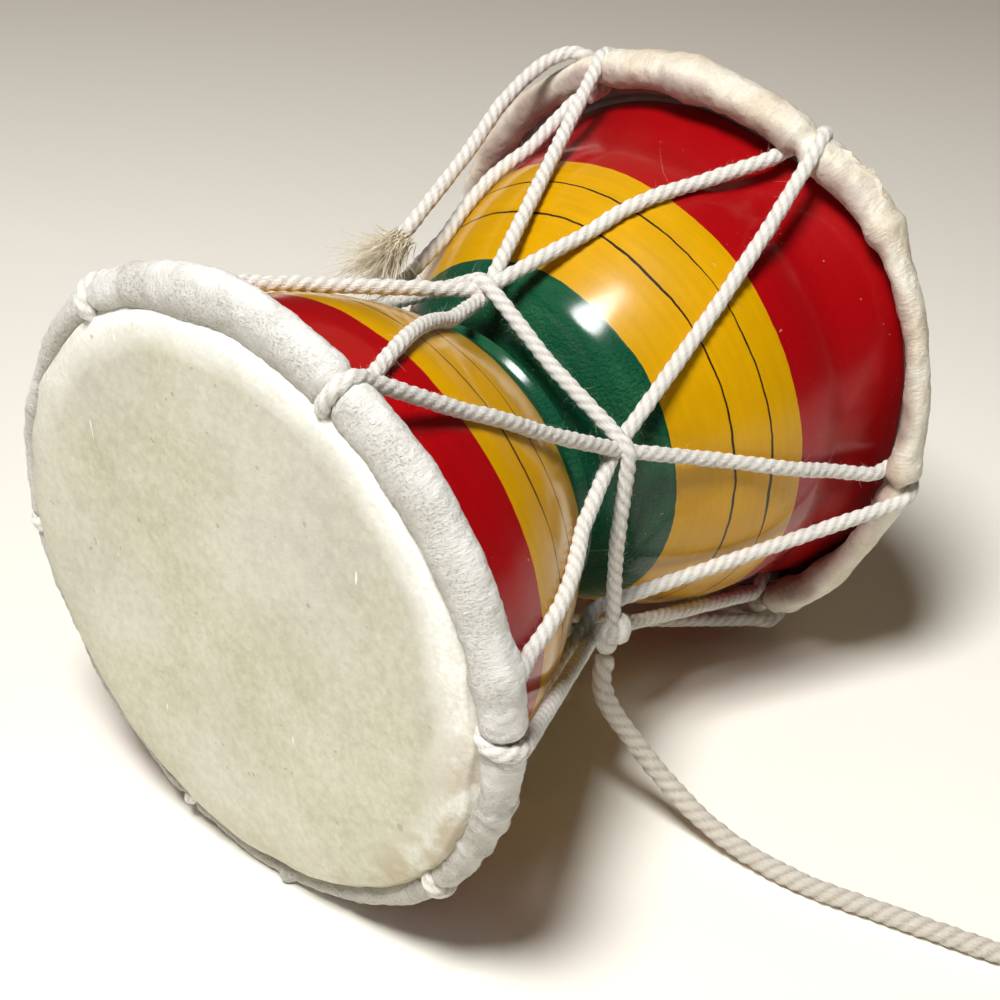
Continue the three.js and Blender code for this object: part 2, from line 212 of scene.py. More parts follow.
def gridFaces(rows, columns, loop):
    # quads (row, column), (row, column + 1), (row + 1, column + 1), (row + 1, column) of rows of rings
    i, j = np.meshgrid(np.arange(rows if loop else rows - 1), np.arange(columns), indexing="ij")
    i, j = i.ravel(), j.ravel()
    corners = [(i, j), (i, j + 1), (i + 1, j + 1), (i + 1, j)]
    faces = np.stack([(a % rows) * columns + b % columns for a, b in corners], -1)
    places = np.stack([np.stack([a, b], -1) for a, b in corners], 1)
    return faces, places


def gridMesh(name, points, loop=False, uvSize=(1, 1), masks=None):
    # rows of rings made into a closed surface with its faces outwards: its ends join up in a loop,
    # and are shut by fans otherwise
    rows, columns = points.shape[:2]
    vertices = points.reshape(-1, 3)
    faces, places = gridFaces(rows, columns, loop)
    uvs = (places * np.array(uvSize)).reshape(-1, 2)
    fans = np.zeros((0, 3), int)
    if not loop:
        j = np.arange(columns)
        ahead = (j + 1) % columns
        last = (rows - 1) * columns
        first = np.stack([j, np.full(columns, len(vertices)), ahead], -1)
        final = np.stack([last + j, last + ahead, np.full(columns, len(vertices) + 1)], -1)
        fans = np.concatenate([first, final])
        vertices = np.concatenate([vertices, points[:1].mean(1), points[-1:].mean(1)])
        fanUvs = np.zeros((len(fans) * 3, 2))
        fanUvs[len(fanUvs) // 2:, 0] = (rows - 1) * uvSize[0]
        uvs = np.concatenate([uvs, fanUvs])
    a, b, c, d = (vertices[faces[:, k]] for k in range(4))
    volume = np.einsum("ij,ij->", a, np.cross(b, c)) + np.einsum("ij,ij->", a, np.cross(c, d))
    quads = faces.tolist()
    triangles = fans.tolist()
    mesh = bpy.data.meshes.new(name)
    mesh.from_pydata(vertices.tolist(), [], quads + triangles)
    layer = mesh.uv_layers.new(name="surface")
    layer.data.foreach_set("uv", uvs.astype(np.float32).ravel())
    for mask, values in (masks or {}).items():
        spread = np.zeros(len(vertices), np.float32)
        spread[:rows * columns] = values.ravel()
        mesh.attributes.new(mask, "FLOAT", "POINT").data.foreach_set("value", spread)
    if volume < 0:
        mesh.flip_normals()
    mesh.shade_smooth()
    mesh.update()
    return mesh


def addPiece(name, mesh, material, slot, *nodes):
    piece = bpy.data.objects.new(name, mesh)
    bpy.context.scene.collection.objects.link(piece)
    mesh.materials.append(material)
    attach(piece, "root")
    if nodes:
        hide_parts(*nodes)
    return piece


print("materials")


def newGroup(name, inputs, outputs):
    # inputs: name to starting value, none for a vector; outputs: their names, a colour where it says so
    group = bpy.data.node_groups.new(name, "ShaderNodeTree")
    for label, value in inputs.items():
        kind = "Vector" if value is None else "Color" if isinstance(value, tuple) else "Float"
        socket = group.interface.new_socket(label, in_out="INPUT", socket_type="NodeSocket" + kind)
        if value is not None:
            socket.default_value = value
    for label in outputs:
        kind = "Color" if label == "Color" else "Float"
        group.interface.new_socket(label, in_out="OUTPUT", socket_type="NodeSocket" + kind)
    return group, addNode(group, "NodeGroupInput").outputs, addNode(group, "NodeGroupOutput").inputs


def addNode(tree, kind, links=None, **settings):
    # links: input name or number to a socket or a plain value
    node = tree.nodes.new(kind)
    for key, value in settings.items():
        setattr(node, key, value)
    for key, value in (links or {}).items():
        if isinstance(value, bpy.types.NodeSocket):
            tree.links.new(value, node.inputs[key])
        else:
            node.inputs[key].default_value = value
    return node


def placeGroup(tree, group, links):
    return addNode(tree, "ShaderNodeGroup", links, node_tree=group)


def maths(tree, operation, first, second=0.0, third=0.0, clamp=False):
    inputs = {0: first, 1: second, 2: third}
    return addNode(tree, "ShaderNodeMath", inputs, operation=operation, use_clamp=clamp).outputs[0]


def times(tree, first, second):
    return maths(tree, "MULTIPLY", first, second)


def mixed(tree, share, first, second, blend="MIX"):
    inputs = {0: share, 6: first, 7: second}
    return addNode(tree, "ShaderNodeMix", inputs, data_type="RGBA", blend_type=blend).outputs[2]


def noise(tree, vector, scale, detail=3.0, roughness=0.5, distortion=0.0):
    links = {"Vector": vector, "Scale": scale, "Detail": detail, "Roughness": roughness,
             "Distortion": distortion}
    return addNode(tree, "ShaderNodeTexNoise", links).outputs["Fac"]


def mapped(tree, vector, **changes):
    return addNode(tree, "ShaderNodeMapping", {"Vector": vector, **changes}).outputs[0]


def coords(tree, kind):
    return addNode(tree, "ShaderNodeTexCoord").outputs[kind]


def split(tree, vector):
    return addNode(tree, "ShaderNodeSeparateXYZ", {0: vector}).outputs


def spanned(tree, value, low, high, toLow=0.0, toHigh=1.0):
    node = addNode(tree, "ShaderNodeMapRange", {"Value": value, "From Min": low, "From Max": high,
                                                "To Min": toLow, "To Max": toHigh})
    return node.outputs[0]


def srgb(red, green, blue):
    # a colour as the eye names it, 0 to 255, turned to the light's own scale
    parts = [c / 255 for c in (red, green, blue)]
    return tuple(c / 12.92 if c <= 0.04045 else ((c + 0.055) / 1.055) ** 2.4 for c in parts) + (1,)


def mottleGroup():
    # cloudy patches: broad noise with finer noise over it, from 0 to 1 about its middle
    inputs = {"Vector": None, "Scale": 60.0, "Contrast": 0.5}
    group, given, out = newGroup("mottle", inputs, ["Patches"])
    broad = noise(group, given["Vector"], given["Scale"], 4.0, 0.6)
    low, high = (maths(group, "MULTIPLY_ADD", given["Contrast"], way * 0.25, 0.5) for way in (-1, 1))
    group.links.new(spanned(group, broad, low, high), out["Patches"])
    return group


def specksGroup():
    # sparse small spots: where a fine noise is above its threshold
    inputs = {"Vector": None, "Scale": 900.0, "Threshold": 0.72}
    group, given, out = newGroup("specks", inputs, ["Spots"])
    fine = noise(group, given["Vector"], given["Scale"], 1.0, 0.4)
    high = maths(group, "ADD", given["Threshold"], 0.03)
    group.links.new(spanned(group, fine, given["Threshold"], high), out["Spots"])
    return group


def hideGrainGroup():
    # the face of dried hide: small pits, fibres that lie across the roll and soft swells, as one height
    inputs = {"Vector": None, "Place": None, "Pitted": 1.0}
    group, given, out = newGroup("hide grain", inputs, ["Height", "Pits"])
    fibres = noise(group, mapped(group, given["Vector"], Scale=(2300, 620, 1)), 1.0, 5.0, 0.7, 0.3)
    pitted = noise(group, given["Place"], 2400.0, 3.0, 0.6)
    pits = times(group, spanned(group, pitted, 0.49, 0.32), given["Pitted"])
    broad = noise(group, given["Place"], 380.0, 2.0)
    height = maths(group, "MULTIPLY_ADD", pits, -0.5, times(group, fibres, 1.2))
    group.links.new(maths(group, "MULTIPLY_ADD", broad, 1.3, height), out["Height"])
    group.links.new(pits, out["Pits"])
    return group


def yarnGroup():
    # cotton fibres along a ply: streaks that lie nearly along the cord, and painted shade in the grooves
    # between plies
    inputs = {"Vector": None, "Groove": 0.0, "Light": (0.8, 0.8, 0.8, 1), "Dark": (0.3, 0.3, 0.3, 1),
              "Matted": 0.0}
    group, given, out = newGroup("yarn", inputs, ["Color", "Height"])
    streaks = noise(group, mapped(group, given["Vector"], Scale=(700, 5200, 1)), 1.0, 3.0, 0.6, 0.4)
    fluff = noise(group, mapped(group, given["Vector"], Scale=(2600, 2600, 1)), 1.0, 4.0, 0.7)
    # painted shade: the deeper in a groove between plies, the darker
    depth = maths(group, "POWER", given["Groove"], 1.25)
    dimmed = maths(group, "MULTIPLY_ADD", streaks, -1.3, 0.66)
    shade = maths(group, "ADD", times(group, depth, 0.52), dimmed, clamp=True)
    group.links.new(mixed(group, shade, given["Light"], given["Dark"]), out["Color"])
    fluffHeight = times(group, fluff, maths(group, "ADD", given["Matted"], 0.25))
    group.links.new(maths(group, "ADD", streaks, fluffHeight), out["Height"])
    return group


groups = {"mottle": mottleGroup(), "specks": specksGroup(), "hide": hideGrainGroup(), "yarn": yarnGroup()}


def patches(tree, vector, scale, contrast):
    links = {"Vector": vector, "Scale": scale, "Contrast": contrast}
    return placeGroup(tree, groups["mottle"], links).outputs["Patches"]


def spots(tree, vector, scale, threshold):
    links = {"Vector": vector, "Scale": scale, "Threshold": threshold}
    return placeGroup(tree, groups["specks"], links).outputs["Spots"]


def meshMask(tree, name):
    return addNode(tree, "ShaderNodeAttribute", attribute_name=name).outputs["Fac"]


def newMaterial(name, **values):
    material = bpy.data.materials.new(name)
    material.use_nodes = True
    tree = material.node_tree
    shader = tree.nodes["Principled BSDF"]
    for key, value in values.items():
        shader.inputs[key].default_value = value
    return material, tree, shader


def paint(tree, shader, colour):
    tree.links.new(colour, shader.inputs["Base Color"])


def bumpInto(tree, shader, height, distance):
    bump = addNode(tree, "ShaderNodeBump", {"Height": height, "Distance": distance})
    tree.links.new(bump.outputs[0], shader.inputs["Normal"])


def drumPlace(tree):
    # object coordinates with the drum's axis at zero height
    return mapped(tree, coords(tree, "Object"), Location=(0, 0, -axisHeight))


lacquer = {
    "red": srgb(164, 5, 12),
    "yellow": srgb(212, 157, 0),
    "green": srgb(4, 80, 52),
    "brushed": srgb(40, 102, 64),       # paler brush marks in the green
    "line": srgb(44, 26, 8),
    "dust": srgb(225, 222, 205),
    "bands": ["red", "yellow", "green", "yellow", "red"],
    "edges": [-0.0341, -0.0118, 0.0119, 0.0335],    # along the drum, from the front
    "lines": [-0.0267, -0.0204, 0.0214, 0.0279],
    "lineWidth": 0.00034,
    "lineSwell": 0.0004,
    "wander": 0.0016,                   # how far the edges stray, slowly and quickly
    "quiver": 0.0003,
    "rampHalf": 0.06,
    "deepened": (0.62, 0.62, 0.62, 1),  # what streaks and clouds multiply the colour by
    "dusty": 0.35,
    "specked": 15.0,                    # height of the green's specks beside its peel
    "bump": 0.00005,
    "finish": {"Roughness": 0.38, "Coat Weight": 1.0, "Coat Roughness": 0.15, "Coat IOR": 1.36,
               "Specular IOR Level": 0.12},
}


def bandColour(tree, along):
    # hard-edged colours along the drum, from a ramp that reads rampHalf either way of the middle
    half = lacquer["rampHalf"]
    ramp = addNode(tree, "ShaderNodeValToRGB", {0: spanned(tree, along, -half, half)})
    ramp.color_ramp.interpolation = "CONSTANT"
    stops = ramp.color_ramp.elements
    stops.remove(stops[1])
    for number, (band, edge) in enumerate(zip(lacquer["bands"], [-half] + lacquer["edges"])):
        stop = stops.new((edge + half) / (2 * half)) if number else stops[0]
        stop.color = lacquer[band]
    return ramp.outputs[0]


def lacquerMaterial():
    material, tree, shader = newMaterial("lacquer", **lacquer["finish"])
    place = drumPlace(tree)
    along = split(tree, place)["Y"]
    slow = noise(tree, place, 55.0, 2.0)
    quick = noise(tree, place, 420.0, 2.0)
    wander = maths(tree, "MULTIPLY_ADD", slow, lacquer["wander"], -lacquer["wander"] / 2)
    quiver = maths(tree, "MULTIPLY_ADD", quick, lacquer["quiver"], -lacquer["quiver"] / 2)
    painted = maths(tree, "ADD", along, maths(tree, "ADD", wander, quiver))
    band = bandColour(tree, painted)

    # streaks round the drum and cloudy patches deepen the colour, and the green is brushed paler
    streak = noise(tree, mapped(tree, place, Scale=(45, 1100, 45)), 1.0, 4.0, 0.6, 0.3)
    cloudy = times(tree, patches(tree, place, 150.0, 1.2), 0.25)
    shade = maths(tree, "MULTIPLY_ADD", streak, 0.55, cloudy)
    deeper = mixed(tree, 1.0, band, lacquer["deepened"], "MULTIPLY")
    colour = mixed(tree, spanned(tree, shade, 0.25, 0.7, 0.0, 0.55), band, deeper)
    inGreen = maths(tree, "LESS_THAN", maths(tree, "ABSOLUTE", painted), lacquer["edges"][2])
    brushed = noise(tree, mapped(tree, place, Scale=(60, 420, 60)), 1.0, 4.0, 0.6, 0.4)
    brighter = times(tree, inGreen, spanned(tree, brushed, 0.46, 0.7, 0.0, 0.6))
    colour = mixed(tree, brighter, colour, lacquer["brushed"])

    # the dark lines, cut a little into the lacquer and uneven in width
    narrow = (lacquer["lineWidth"] - lacquer["lineSwell"]) / 2
    thin = maths(tree, "MULTIPLY_ADD", slow, lacquer["lineSwell"], narrow)
    lined = 0.0
    for linePlace in lacquer["lines"]:
        near = maths(tree, "ABSOLUTE", maths(tree, "SUBTRACT", painted, linePlace))
        lined = maths(tree, "MAXIMUM", lined, maths(tree, "LESS_THAN", near, thin))
    colour = mixed(tree, lined, colour, lacquer["line"])
    dust = times(tree, spots(tree, place, 1200.0, 0.79), lacquer["dusty"])
    paint(tree, shader, mixed(tree, dust, colour, lacquer["dust"]))

    # the coat's skin: soft swells, fine peel and sharper specks in the green
    peel = noise(tree, place, 700.0, 3.0, 0.55)
    swell = maths(tree, "MULTIPLY_ADD", noise(tree, place, 120.0, 1.0), 2.0, peel)
    specked = times(tree, noise(tree, place, 1600.0, 3.0, 0.6), times(tree, inGreen, lacquer["specked"]))
    height = maths(tree, "MULTIPLY_ADD", lined, -1.0, maths(tree, "ADD", swell, specked))
    bumpInto(tree, shader, height, lacquer["bump"])
    return material


membrane = {
    "middle": srgb(187, 184, 153),
    "greyer": srgb(195, 191, 177),
    "stain": srgb(180, 154, 116),
    "pale": srgb(223, 218, 200),
    # painted light: the colour the rim is whitened to where it faces up and to the right
    "rim": srgb(252, 250, 242),
    "fleck": srgb(130, 104, 74),
    "scratch": srgb(250, 250, 244),
    # the colour of the painted shade on the hide's back side, deep between the roll and the shell
    "back": srgb(74, 38, 34),
    "rimWidth": 0.0064,
    "rimSettled": 0.0015,       # this near the rim the paleness, which is painted light, is at full strength
    "rimWander": 0.002,
    "dotted": 0.3, "flecked": 0.35, "scratched": 0.85, "paintedShadeBehind": 0.9,
    "scratchTurn": (0, 0.9, 0), "scratchScale": (900, 60, 170),
    "bump": 0.00006,
}


def membraneMaterial():
    material, tree, shader = newMaterial("stretched hide", **{"Roughness": 0.62})
    place = drumPlace(tree)
    parts = split(tree, place)
    right, up = parts["X"], parts["Z"]
    square = maths(tree, "ADD", maths(tree, "POWER", right, 2.0), maths(tree, "POWER", up, 2.0))
    radius = maths(tree, "SQRT", square)

    # two tints in broad patches, lightened by clouds and a fine mottle
    clouds = patches(tree, place, 55.0, 0.7)
    fine = patches(tree, place, 760.0, 0.7)
    cloudy = maths(tree, "MULTIPLY_ADD", fine, 0.5, times(tree, clouds, 0.5))
    tinted = mixed(tree, patches(tree, place, 24.0, 0.4), membrane["middle"], membrane["greyer"])
    colour = mixed(tree, cloudy, tinted, membrane["pale"])

    # the rim is paler, with painted light most of all above and to the right, and stained low on the right
    uneven = maths(tree, "MULTIPLY_ADD", clouds, membrane["rimWander"], radius)
    towardRim = spanned(tree, uneven, drum["headRadius"] - membrane["rimWidth"],
                        drum["headRadius"] - membrane["rimSettled"])
    upward = maths(tree, "MULTIPLY_ADD", up, 0.85, times(tree, right, 0.5))
    # painted light: the rim is whitened most where it faces up and to the right
    lit = times(tree, towardRim, spanned(tree, upward, -0.02, 0.02, 0.05, 1.0))
    colour = mixed(tree, lit, colour, membrane["rim"])
    low = spanned(tree, maths(tree, "SUBTRACT", right, up), 0.03, 0.06, 0.0, 0.6)
    stainedAndShaded = times(tree, times(tree, patches(tree, place, 130.0, 0.3), towardRim), low)
    colour = mixed(tree, stainedAndShaded, colour, membrane["stain"])
    dotted = times(tree, times(tree, patches(tree, place, 1400.0, 0.5), towardRim), membrane["dotted"])
    colour = mixed(tree, dotted, colour, membrane["middle"])

    # flecks, short scratches, and painted shade on the hide's back side behind the rim
    flecks = times(tree, spots(tree, place, 520.0, 0.77), membrane["flecked"])
    colour = mixed(tree, flecks, colour, membrane["fleck"])
    slanted = mapped(tree, place, Rotation=membrane["scratchTurn"], Scale=membrane["scratchScale"])
    scratches = times(tree, spots(tree, slanted, 1.0, 0.81), membrane["scratched"])
    colour = mixed(tree, scratches, colour, membrane["scratch"])
    # painted shade: the hide's back side behind the rim is darkened
    behind = times(tree, meshMask(tree, "behind"), membrane["paintedShadeBehind"])
    paint(tree, shader, mixed(tree, behind, colour, membrane["back"]))
    grain = noise(tree, place, 1500.0, 4.0, 0.6)
    bumpInto(tree, shader, maths(tree, "ADD", grain, times(tree, fine, 0.6)), membrane["bump"])
    return material


# inner is the colour of the painted shade on the roll's side towards the axis and low down
frontHide = {
    "light": srgb(255, 254, 250), "dark": srgb(222, 219, 211),
    "stain": srgb(208, 204, 192), "inner": srgb(166, 158, 144),
    "grey": 0.56, "lowShade": 0.5, "inwardShade": 0.45, "blotch": 0.3, "pits": 0.4, "freckles": 0.16,
    "bump": 0.0003,
}
rearHide = {
    "light": srgb(252, 247, 232), "dark": srgb(236, 225, 204),
    "stain": srgb(212, 182, 140), "inner": srgb(156, 126, 120),
    "grey": 0.1, "lowShade": 0.0, "inwardShade": 0.7, "blotch": 0.42, "pits": 0.4, "freckles": 0.25,
    "bump": 0.00032,
}
hideShade = (0.6, 0.57, 0.52, 1)
lowShadeHeights = (-0.004, -0.034)      # heights from the axis between which painted shade turns it greyer


def rolledHideMaterial(name, hide):
    # clean and pale outside, pitted towards the face, with painted shade on the side towards the axis and
    # in its pits, and greyer low down by painted shade
    material, tree, shader = newMaterial(name, **{"Roughness": 0.5, "Specular IOR Level": 0.45})
    place = drumPlace(tree)
    faceward = meshMask(tree, "faceward")
    links = {"Vector": coords(tree, "UV"), "Place": place, "Pitted": faceward}
    grain = placeGroup(tree, groups["hide"], links)
    faced = times(tree, faceward, hide["grey"])
    greyed = maths(tree, "MULTIPLY_ADD", patches(tree, place, 190.0, 0.9), 0.45, faced, clamp=True)
    colour = mixed(tree, greyed, hide["light"], hide["dark"])
    blotched = times(tree, patches(tree, place, 75.0, 0.35), hide["blotch"])
    colour = mixed(tree, blotched, colour, hide["stain"])
    # painted shade on the side of the roll that faces the axis
    inwardShade = times(tree, meshMask(tree, "inwardShade"), hide["inwardShade"])
    colour = mixed(tree, inwardShade, colour, hide["inner"])
    # painted shade: greyer low down, where less light falls
    low = spanned(tree, split(tree, place)["Z"], *lowShadeHeights, 0.0, hide["lowShade"])
    colour = mixed(tree, low, colour, hide["inner"])
    shaded = mixed(tree, 1.0, colour, hideShade, "MULTIPLY")
    pits = times(tree, grain.outputs["Pits"], hide["pits"])
    freckled = patches(tree, place, 2400.0, 0.6)
    dimmed = maths(tree, "MULTIPLY_ADD", freckled, hide["freckles"], pits, clamp=True)
    paint(tree, shader, mixed(tree, dimmed, colour, shaded))
    bumpInto(tree, shader, grain.outputs["Height"], hide["bump"])
    return material


cottons = {
    "lacing cotton": {"light": srgb(255, 252, 244), "dark": srgb(166, 148, 126), "matted": 0.5},
    "pull cord cotton": {"light": srgb(234, 226, 211), "dark": srgb(150, 132, 112), "matted": 0.6},
}
cottonBump = 0.00032


def cottonMaterial(name):
    material, tree, shader = newMaterial(name, **{"Roughness": 0.92, "Sheen Weight": 0.3,
                                                  "Sheen Roughness": 0.5, "Specular IOR Level": 0.2})
    cotton = cottons[name]
    yarn = placeGroup(tree, groups["yarn"], {
        "Vector": coords(tree, "UV"), "Groove": meshMask(tree, "groove"),
        "Light": cotton["light"], "Dark": cotton["dark"], "Matted": cotton["matted"]})
    paint(tree, shader, yarn.outputs["Color"])
    bumpInto(tree, shader, yarn.outputs["Height"], cottonBump)
    return material


def fibreMaterial(name, dark, light):
    material, tree, shader = newMaterial(name, **{"Roughness": 0.9, "Specular IOR Level": 0.2})
    tint = noise(tree, drumPlace(tree), 300.0, 2.0)
    paint(tree, shader, mixed(tree, tint, dark, light))
    return material


caneWood = {"dark": srgb(122, 86, 48), "light": srgb(188, 152, 98), "bump": 0.0001}


def caneMaterial():
    material, tree, shader = newMaterial("cane", **{"Roughness": 0.6})
    place = drumPlace(tree)
    fibres = noise(tree, mapped(tree, place, Scale=(300, 2600, 300)), 1.0, 4.0, 0.6)
    paint(tree, shader, mixed(tree, fibres, caneWood["dark"], caneWood["light"]))
    bumpInto(tree, shader, fibres, caneWood["bump"])
    return material


lacquerLook = lacquerMaterial()
membraneLook = membraneMaterial()
frontRollLook = rolledHideMaterial("front rolled hide", frontHide)
rearRollLook = rolledHideMaterial("rear rolled hide", rearHide)
lacingLook = cottonMaterial("lacing cotton")
pullLook = cottonMaterial("pull cord cotton")
fibreLook = fibreMaterial("loose fibre", srgb(214, 204, 184), srgb(250, 246, 236))
frayLook = fibreMaterial("frayed cotton", srgb(226, 208, 172), srgb(252, 246, 230))
caneLook = caneMaterial()

print("cords")

lace = {"radius": 0.00132, "pitch": 0.0064, "depth": 0.2, "step": 0.0004, "sides": 24}
pull = {"radius": 0.00176, "pitch": 0.0072, "depth": 0.19, "step": 0.0004, "sides": 27}
yarnUneven = {"slow": 0.03, "fine": 0.016}      # shares of a cord's radius


def ropeFrame(line, guide):
    # ahead along the line, side towards the guide and square to it, up square to both
    ahead = unit(np.gradient(line, axis=0))
    side = unit(guide - (guide * ahead).sum(-1, keepdims=True) * ahead)
    return ahead, side, np.cross(ahead, side)


def ropeMesh(name, line, guide, rope, loop=False):
    # radius R (1 - depth (1 - |cos 1.5 (turn + lay)|)): three plies that turn once in each pitch, and
    # an unevenness that is seeded by the cord's own count of rows
    _, side, up = ropeFrame(line, guide)
    rows = len(line)
    at = np.arange(rows) * np.linalg.norm(line[1] - line[0])
    lay = 2 * math.pi * at / rope["pitch"]
    if loop:
        lay = roundSteps(rows) * max(1, round(rows * rope["step"] / rope["pitch"]))
    turn = roundSteps(rope["sides"])
    lobe = np.abs(np.cos(1.5 * (turn + lay[:, None])))
    slow = yarnUneven["slow"] * np.sin(at * 900 + 2 * np.sin(at * 310))[:, None]
    uneven = 1 + slow + np.random.default_rng(rows).normal(0, yarnUneven["fine"], lobe.shape)
    radius = rope["radius"] * (1 - rope["depth"] * (1 - lobe)) * uneven
    around = np.cos(turn)[:, None] * side[:, None] + np.sin(turn)[:, None] * up[:, None]
    points = line[:, None] + radius[..., None] * around
    size = (rope["step"], 2 * math.pi * rope["radius"] / rope["sides"])
    return gridMesh(name, onFloor(points), loop=loop, uvSize=size, masks={"groove": 1 - lobe})


# The pull cord's route out of the girdle's knot, down to the surface and along it, in millimetres
pullRoute = [
    (30.6, -3.6, 29.6), (30.4, -4.6, 26.6), (31.2, -4.9, 23.4), (32.9, -4.7, 20.4), (35.4, -4.0, 17.4),
    (38.6, -3.4, 14.0), (42.4, -2.9, 10.6), (46.6, -2.6, 7.7), (51.2, -2.3, 5.2), (56.2, -2.0, 3.4),
    (61.4, -1.7, 2.3), (67.0, -1.3, 1.85), (72.8, -0.8, 1.8), (79.0, 0.6, 1.8), (85.6, 2.2, 1.8),
    (92.3, 3.7, 1.8), (98.8, 5.2, 1.8), (105.2, 6.8, 1.8), (111.6, 8.9, 1.8), (117.8, 11.6, 1.8),
    (123.8, 14.9, 1.8), (129.4, 18.3, 2.4), (134.6, 21.4, 3.3), (139.4, 24.0, 3.8),
]
pullBend = 0.0015
pullLine = softened(np.array(pullRoute) / 1000, pull["step"], pullBend)
sideways, upwards = np.eye(3)[1:]
pullMesh = ropeMesh("pullCord", pullLine, sideways, pull)
pullCord = addPiece("pullCord", pullMesh, pullLook, "cotton", "pull_cord")


def knotLine(place, out, along, size, step):
    # a trefoil, (sin t + 2 sin 2t, cos t - 2 cos 2t, -sin 3t), at its own width, length and height,
    # turned so that its third axis points out and its second along
    t = np.linspace(0, 2 * math.pi, 400)
    line = np.stack([np.sin(t) + 2 * np.sin(2 * t), np.cos(t) - 2 * np.cos(2 * t), -np.sin(3 * t)], -1)
    line = evenly(line * (np.array(size) / (6, 6, 2)), step)[:-1]
    out = unit(np.asarray(out, float))
    along = unit(along - out * (along @ out))
    return place + line @ np.stack([np.cross(along, out), along, out])


pullTie = {"size": (0.0072, 0.0078, 0.0042), "ahead": 0.0042, "height": 0.00435, "faces": (0.25, -0.2, 1)}
pullWay = unit(pullLine[-1] - pullLine[-8])
knotMiddle = pullLine[-1] + pullWay * pullTie["ahead"]
knotMiddle[2] = pullTie["height"]
pullKnotLine = knotLine(knotMiddle, pullTie["faces"], pullWay, pullTie["size"], pull["step"])
pullKnotMesh = ropeMesh("pullKnot", pullKnotLine, upwards, pull, loop=True)
pullKnot = addPiece("pullKnot", pullKnotMesh, pullLook, "cotton", "pull_knot")

print("shell")

# A cup from the waist to its mouth: share of its length, share of the way to the mouth's radius
cupShares = [
    (0, 0), (0.04, 0.06), (0.105, 0.26), (0.148, 0.392), (0.195, 0.4635), (0.245, 0.529), (0.32, 0.625),
    (0.43, 0.745), (0.54, 0.835), (0.66, 0.885), (0.78, 0.9), (0.9, 0.945), (1, 1),
]
boreShares = [(0, 0), (0.12, 0.1), (0.35, 0.6), (0.6, 0.88), (1, 1)]
shell = {
    "around": 192, "step": 0.0004,
    "rounding": 0.0012,
    "boreRadius": 0.008,
    "boreRounding": 0.002,
    "boreStep": 0.0012,
    "wall": 0.004,
    "fine": (-0.011, 0.003),    # along the drum, the lip at the waist
    "flareFrom": 0.043,
    "flareSetback": 0.08,       # share of the flare
}


def cupLine(shares, waist, mouth, reach):
    # both cups in one line from the front mouth to the rear one, its corners rounded
    share = np.array(shares)
    along = shellHalf * share[:, 0]
    radius = waist + (mouth - waist) * share[:, 1]
    whole = np.concatenate([np.stack([radius, -along], -1)[:0:-1], np.stack([radius, along], -1)])
    return softened(whole, shell["step"], reach)


collar = {
    "neck": [(0.02645, -0.0071), (0.02655, -0.0063), (0.02755, -0.0047), (0.02755, -0.0043),
             (0.02695, -0.004)],        # distance from the axis, place along the drum
    "foot": (0.0012, -0.0038),          # the last point, out from the waist
    "outer": -0.0076, "back": -0.0036,
    "step": 0.0002,
}


def withCollar(line):
    # the front cup ends at the waist in a straight neck with a sharp lip, then drops to the waist
    before, after = line[line[:, 1] < collar["outer"]], line[line[:, 1] > collar["back"]]
    foot = (after[0, 0] + collar["foot"][0], collar["foot"][1])
    joined = np.concatenate([before, collar["neck"], [foot], after])
    return softened(joined, collar["step"], collar["step"])


shellLine = withCollar(cupLine(cupShares, drum["waistRadius"], drum["mouthRadius"], shell["rounding"]))


def shellRadius(along):
    return np.interp(along, shellLine[:, 1], shellLine[:, 0])


def flared(points):
    # the rear mouth stands out by its own list, eased along the cup, and where it does it is set back
    degrees = np.degrees(np.arctan2(points[..., 2] - axisHeight, points[..., 0]))
    rise = np.clip((points[..., 1] - shell["flareFrom"]) / (shellHalf - shell["flareFrom"]), 0, 1)
    outward = roundRead(mouthOut, degrees)[0] * rise ** 2 * (3 - 2 * rise)
    fromAxis = points - axisPoint
    fromAxis[..., [0, 2]] *= (1 + outward / np.hypot(fromAxis[..., 0], fromAxis[..., 2]))[..., None]
    fromAxis[..., 1] -= shell["flareSetback"] * outward
    return fromAxis + axisPoint


def makeShell():
    # the outline of the cups and of the bore, carried round the drum's axis
    mouth = drum["mouthRadius"] - shell["wall"]
    bore = evenly(cupLine(boreShares, shell["boreRadius"], mouth, shell["boreRounding"]), shell["boreStep"])
    fine = (shellLine[:, 1] > shell["fine"][0]) & (shellLine[:, 1] < shell["fine"][1])
    outline = np.concatenate([thinned(shellLine, fine, 2), bore[::-1]])
    degrees = roundSteps(shell["around"], 360)
    points = flared(polar(outline[:, None, 0], degrees[None], outline[:, None, 1]))
    size = (np.linalg.norm(outline[1] - outline[0]), 2 * math.pi * drum["headRadius"] / shell["around"])
    mesh = gridMesh("shell", points, loop=True, uvSize=size)
    addPiece("shellLacquered", mesh, lacquerLook, "lacquered_wood", "shell")


makeShell()

print("lacing")

lacing = {
    "bite": 0.0014,       # how deep a cord draws into the roll
    "slant": 0.0032,      # sideways shift once round a roll
    "innerRun": 0.0044,
    "innerDrop": 0.0003,
    "girdleRadius": 0.0339,
    "stack": 0.0015,
    "clear": 0.00015,     # off the shell
    "bend": 0.0011,       # how tightly a corner is rounded
    "offStep": 0.0008,
    "mouthRoom": 0.004,   # this near a mouth nothing is pushed off the shell
    "wrapTurn": (-50, 185, 24),     # degrees round the roll, and the points of a wrap
    "knotDrop": 0.0003,
    "tie": {"size": (0.006, 0.0046, 0.002), "tilt": -0.4},
}
overRadius = lacing["girdleRadius"] - lacing["stack"]
underRadius = overRadius - lacing["stack"]

